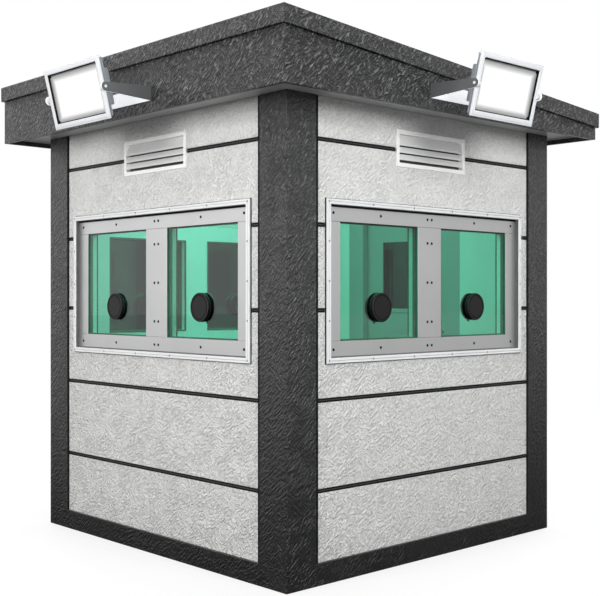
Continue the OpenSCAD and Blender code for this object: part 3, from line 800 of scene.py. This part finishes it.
def makeVent(side):
    low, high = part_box("front_vent")
    border, turn = ventLook["border"], turnMatrix(side)
    outline = [(0, high.y), (0, low.y + 0.0015), (0.0015, low.y), (border - 0.0015, low.y),
               (border, low.y + 0.0015), (border, high.y)]
    shell = mitredFrame("ventShell", (low.x, low.z), (high.x, high.z), outline)
    # a dark back plate behind the slats: painted shade of the duct's opening
    back = boxMesh("ventShadeBack", ((low.x + 0.01, high.y - 0.003, low.z + 0.01),
                                (high.x - 0.01, high.y, high.z - 0.01)))
    addPiece(side + "VentShell", shell, side + "_vent", "white_paint", matrix=turn, replaces=[side + "_vent"],
             smooth=20)
    addPiece(side + "VentDuctShadePlate", back, side + "_vent", "ventShade", matrix=turn, smooth=20)
    heights = [low.z + ventLook["lowest"] + step * ventLook["pitch"] for step in range(3)]
    slats = []
    for levels, depth, slope in ((heights[:2], ventLook["blade"], ventLook["slope"]),
                                 (heights[2:], ventLook["topBlade"], ventLook["topSlope"])):
        values = {"Width": high.x - low.x - 2 * border, "Depth": depth, "Slope": slope,
                  "Lip": ventLook["lip"], "Paint": finishes["ventBlade"]}
        slats.append(grow("slats", pointMesh([(0, low.y + 0.0015, level) for level in levels]), slatTree,
                          values))
    addPiece(side + "VentSlats", joined("slats", slats), side + "_vent", "ventBlade",
             matrix=turn, smooth=20)


for side in windowSides:
    makeWindow(side)
    makePorts(side)
    makeVent(side)
print("windows, ports and vents made")


lampLook = {"tilt": 14, "width": 0.485, "height": 0.294, "lip": 0.028, "front": -0.006, "back": 0.007,
            "slope": 0.050, "deep": 0.016, "boxInset": 0.016, "boxHeight": 0.170, "rear": 0.056, "fins": 17,
            "cut": 0.018}
bracketBolts = {"radius": 0.007, "height": 0.003, "seed": 2, "head": "bracket_steel", "sink": "bracket_steel"}


# A tray from rings of (inset, y, share) round a rectangle: share says how near a ring is to the middle, which sets
# the cover's painted shade
def trayMesh(low, high, rings):
    def build(work):
        middle = work.verts.layers.float.new("middle")
        made = []
        for inset, y, share in rings:
            ring = [work.verts.new((x, y, z)) for x, z in
                    ((low[0] + inset, low[1] + inset), (high[0] - inset, low[1] + inset),
                     (high[0] - inset, high[1] - inset), (low[0] + inset, high[1] - inset))]
            for vertex in ring:
                vertex[middle] = share
            made.append(ring)
        for ring, after in zip(made, made[1:]):
            for corner in range(4):
                follow = (corner + 1) % 4
                work.faces.new((ring[corner], ring[follow], after[follow], after[corner]))
        work.faces.new(made[-1])
    return newMesh("tray", build)


def makeLamp(side):
    housing, glass, bracket = side + "_lamp_housing", side + "_lamp_glass", side + "_lamp_bracket"
    pivot = jointPlace[side + "_lamp_tilt"]
    out = Vector((pivot.x, pivot.y)).length
    place = turnMatrix(side) @ Matrix.Translation((0, -out, pivot.z)) @ Matrix.Rotation(
        math.radians(lampLook["tilt"]), 4, "X")
    halfWidth, halfHeight = lampLook["width"] / 2, lampLook["height"] / 2
    low, high = (-halfWidth, -halfHeight), (halfWidth, halfHeight)
    front, back, lip, rear = lampLook["front"], lampLook["back"], lampLook["lip"], lampLook["rear"]

    # cast frame with a stepped face, and a black liner down its inner edge with black corner triangles: painted
    # shade of the deep inner wall and the tray's corners
    outline = [(0.004, back), (0.001, back - 0.003), (0, front + 0.005), (0.0015, front + 0.0025),
               (0.008, front + 0.0025), (0.0095, front), (lip - 0.004, front), (lip - 0.0015, front + 0.0015),
               (lip, front + 0.005), (lip, back)]
    addPiece(side + "LampFrame", mitredFrame("lampFrame", low, high, outline), housing, "lamp_metal",
             matrix=place, replaces=[housing], smooth=25)
    outline = [(lip - 0.001, front + 0.0035), (lip + 0.0035, front + 0.0045), (lip + 0.0035, back + 0.006),
               (lip - 0.001, back + 0.006)]
    liners = [mitredFrame("shadeLiner", low, high, outline)]
    start = front + 0.0125
    reach = lampLook["cut"]
    for x, z in ((-1, -1), (1, -1), (1, 1), (-1, 1)):
        tip = (x * (halfWidth - lip - 0.002), z * (halfHeight - lip - 0.002))
        corners = [tip, (tip[0] - x * reach, tip[1]), (tip[0], tip[1] - z * reach)]
        liners.append(carried("corner", corners, 1, [(start - 0.001, start + 0.002)]))
    addPiece(side + "LampShadeLiner", joined("shadeLiner", liners), housing, "screwShade",
             matrix=place, smooth=25)

    # opal tray: a narrow lip, sloping sides with a ledge, and a flat middle
    slope, deep = lampLook["slope"], lampLook["deep"]
    rings = [(lip - 0.001, start + 0.003, 0.0), (lip - 0.001, start, 0.0), (lip + 0.006, start, 0.1),
             (lip + 0.007, start + 0.0015, 0.2), (lip + 0.012, start + 0.002, 0.3),
             (lip + slope * 0.5, deep - 0.004, 0.6), (lip + slope, deep, 1.0)]
    addPiece(side + "LampDiffuser", trayMesh(low, high, rings), glass, "lamp_diffuser", matrix=place,
             replaces=[glass], smooth=12)

    # the gear box behind, its cooling fins and the pivot bosses
    inset, boxHalf = lampLook["boxInset"], lampLook["boxHeight"] / 2
    body = boxMesh("lampBody", ((-halfWidth + inset, deep + 0.003, -boxHalf),
                                (halfWidth - inset, rear - 0.008, boxHalf)),
                   ((-halfWidth + 0.01, deep + 0.003, -halfHeight + 0.01),
                    (halfWidth - 0.01, deep + 0.010, halfHeight - 0.01)))
    outline = [(0.010, back - 0.002), (0.010, deep + 0.004), (lip - 0.002, deep + 0.004),
               (lip - 0.002, back - 0.002)]
    body = joined("lampBody", [body, mitredFrame("skirt", low, high, outline)])
    addPiece(side + "LampBody", body, housing, "lampBody", matrix=place, bevel=0.003)
    span = halfWidth - inset - 0.012
    points = [(-span + 2 * span * step / (lampLook["fins"] - 1), rear - 0.009, 0)
              for step in range(lampLook["fins"])]
    values = {"Thickness": 0.003, "Depth": 0.018, "Height": lampLook["boxHeight"] - 0.012,
              "Paint": finishes["lampBody"]}
    addPiece(side + "LampFins", grow("fins", pointMesh(points), finTree, values), housing,
             matrix=place, smooth=20)
    bosses = []
    for way in (-1, 1):
        boss = [(0, halfWidth - 0.012), (0.019, halfWidth - 0.012), (0.019, halfWidth + 0.003),
                (0.018, halfWidth + 0.004), (0.006, halfWidth + 0.004), (0.006, halfWidth + 0.0103),
                (0.0065, halfWidth + 0.0103), (0.0070, halfWidth + 0.0125), (0.0055, halfWidth + 0.0138),
                (0.0035, halfWidth + 0.0138), (0.003, halfWidth + 0.0122), (0, halfWidth + 0.0122)]
        mesh = turnedSolid("boss", boss, (0, 0), 32)
        mesh.transform(Matrix.Rotation(-way * math.pi / 2, 4, "Z"))
        bosses.append(mesh)
    addPiece(side + "LampPivots", joined("pivots", bosses), housing, "lamp_metal", matrix=place, smooth=25)

    stand(bracket, bevel=0.0012)
    low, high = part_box(bracket)
    reach = min(min(abs(low[axis]), abs(high[axis])) for axis in (0, 1) if low[axis] * high[axis] > 0)
    points = [(way * bracketLook["boltSpread"], -reach - bracketLook["boltSeat"], pivot.z) for way in (-1, 1)]
    screws(side + "BracketBolts", points, bracket, bracketBolts, turnMatrix(side))


for side in turnOf:
    makeLamp(side)
print("floodlights made")


stand("door_frame", "doorSkin", bevel=0.002)
stand("door_leaf", "doorSkin", bevel=0.002)
stand("door_glass", bevel=0.001)
stand("door_handle", bevel=0.001)
stand("door_hinges", bevel=0.0008)
print("door made")


studioLook = {"seenFloor": grey(0.9), "floor": grey(0.14), "nearMirrored": grey(0.03),
              "farMirrored": grey(0.9), "size": 60, "seen": 0.72, "behindGlass": tone(0.20, 0.03, 0.05),
              "sky": 0.55, "brightSide": 1.30, "dimSide": 0.66}


# Pale paper with a soft shadow under the booth, dark near by in mirrors and dark red through glass
def makeFloor():
    reach = studioLook["size"]
    mesh = bpy.data.meshes.new("studioFloor")
    mesh.from_pydata([(-reach, -reach, 0), (reach, -reach, 0), (reach, reach, 0), (-reach, reach, 0)], [],
                     [(0, 1, 2, 3)])
    paper = Finish("studioPaper")
    matt = paper.surface(Base_Color=studioLook["seenFloor"], Roughness=0.9)
    plain = paper.surface(Base_Color=studioLook["floor"], Roughness=0.9)
    pale = paper.node("ShaderNodeEmission", {}, {"Color": grey(1)})
    distance = (paper.x * paper.x + paper.y * paper.y).math("SQRT")
    far = distance.ramp(3, 9) * (1 - studioLook["seen"]) + studioLook["seen"]
    shown = paper.node("ShaderNodeMixShader", {}, {0: far, 1: matt, 2: pale})
    low = paper.blend(distance.ramp(3, 14), studioLook["nearMirrored"], studioLook["farMirrored"])
    low = paper.node("ShaderNodeEmission", {}, {"Color": low})
    plain = paper.byRay("Camera", paper.byRay("Glossy", plain, low), shown)
    dim = paper.node("ShaderNodeEmission", {}, {"Color": studioLook["behindGlass"]})
    mesh.materials.append(paper.done(paper.byRay("Transmission", plain, dim)))
    floor = bpy.data.objects.new("studioFloor", mesh)
    bpy.context.scene.collection.objects.link(floor)


def addLamp(name, place, target, size, power, colour=(1, 1, 1)):
    light = bpy.data.lights.new(name, "AREA")
    light.shape, light.size, light.energy, light.color = "SQUARE", size, power, colour
    lamp = bpy.data.objects.new(name, light)
    bpy.context.scene.collection.objects.link(lamp)
    lamp.location = place
    lamp.rotation_euler = (Vector(target) - Vector(place)).to_track_quat("-Z", "Y").to_euler()


# White to the eye, soft for diffuse light, brighter on one side in mirrors and dark red through glass
def makeSky():
    world = bpy.data.worlds.new("studioSky")
    bpy.context.scene.world = world
    world.use_nodes = True
    sky = Graph(world.node_tree)
    direction = sky.node("ShaderNodeTexCoord", output="Generated")
    lean = sky.node("ShaderNodeVectorMath", {"operation": "DOT_PRODUCT"}, {0: direction, 1: (-0.7, -0.7, 0)},
                    "Value")
    side = sky.node("ShaderNodeMapRange", {}, {"Value": lean, "From Min": -0.9, "From Max": 0.9,
                                               "To Min": studioLook["dimSide"],
                                               "To Max": studioLook["brightSide"]})

    def glow(colour, strength):
        return sky.node("ShaderNodeBackground", {}, {"Color": colour, "Strength": strength})

    white = grey(1)
    soft = sky.byRay("Glossy", glow(tone(0.99, 0.995, 1.0), studioLook["sky"]), glow(white, side))
    throughGlass = sky.byRay("Transmission", soft, glow(studioLook["behindGlass"], 1.0))
    sky.node("ShaderNodeOutputWorld", {}, {"Surface": sky.byRay("Camera", throughGlass, glow(white, 1.0))})


makeFloor()
makeSky()
addLamp("keyLight", (1.0, -6.6, 3.2), (0.5, -0.5, 1.7), 3.2, 245, (1.0, 0.995, 0.99))
addLamp("sideLight", (6.4, -1.2, 3.7), (0.5, -0.3, 1.8), 3.0, 250, (0.995, 1.0, 1.0))
addLamp("rearLight", (-1.0, 6.6, 4.3), (0, 0, 1.2), 3.2, 230)
addLamp("leftLight", (-6.6, 1.5, 4.3), (0, 0, 1.2), 3.2, 220)
addLamp("roomLight", (0, 0, 2.15), (0, 0, 0), 1.2, 18)

cameraLook = {"place": (4.380, -4.134, 1.293), "turn": 47.72, "lens": 63.44, "shift": 0.0393}
camera = bpy.data.objects.new("camera", bpy.data.cameras.new("camera"))
bpy.context.scene.collection.objects.link(camera)
camera.location = cameraLook["place"]
camera.rotation_euler = (math.pi / 2, 0, math.radians(cameraLook["turn"]))
camera.data.lens, camera.data.shift_x = cameraLook["lens"], cameraLook["shift"]
camera.data.clip_end = 200
bpy.context.scene.camera = camera
bpy.context.scene.view_settings.view_transform = "Standard"
print("studio made")
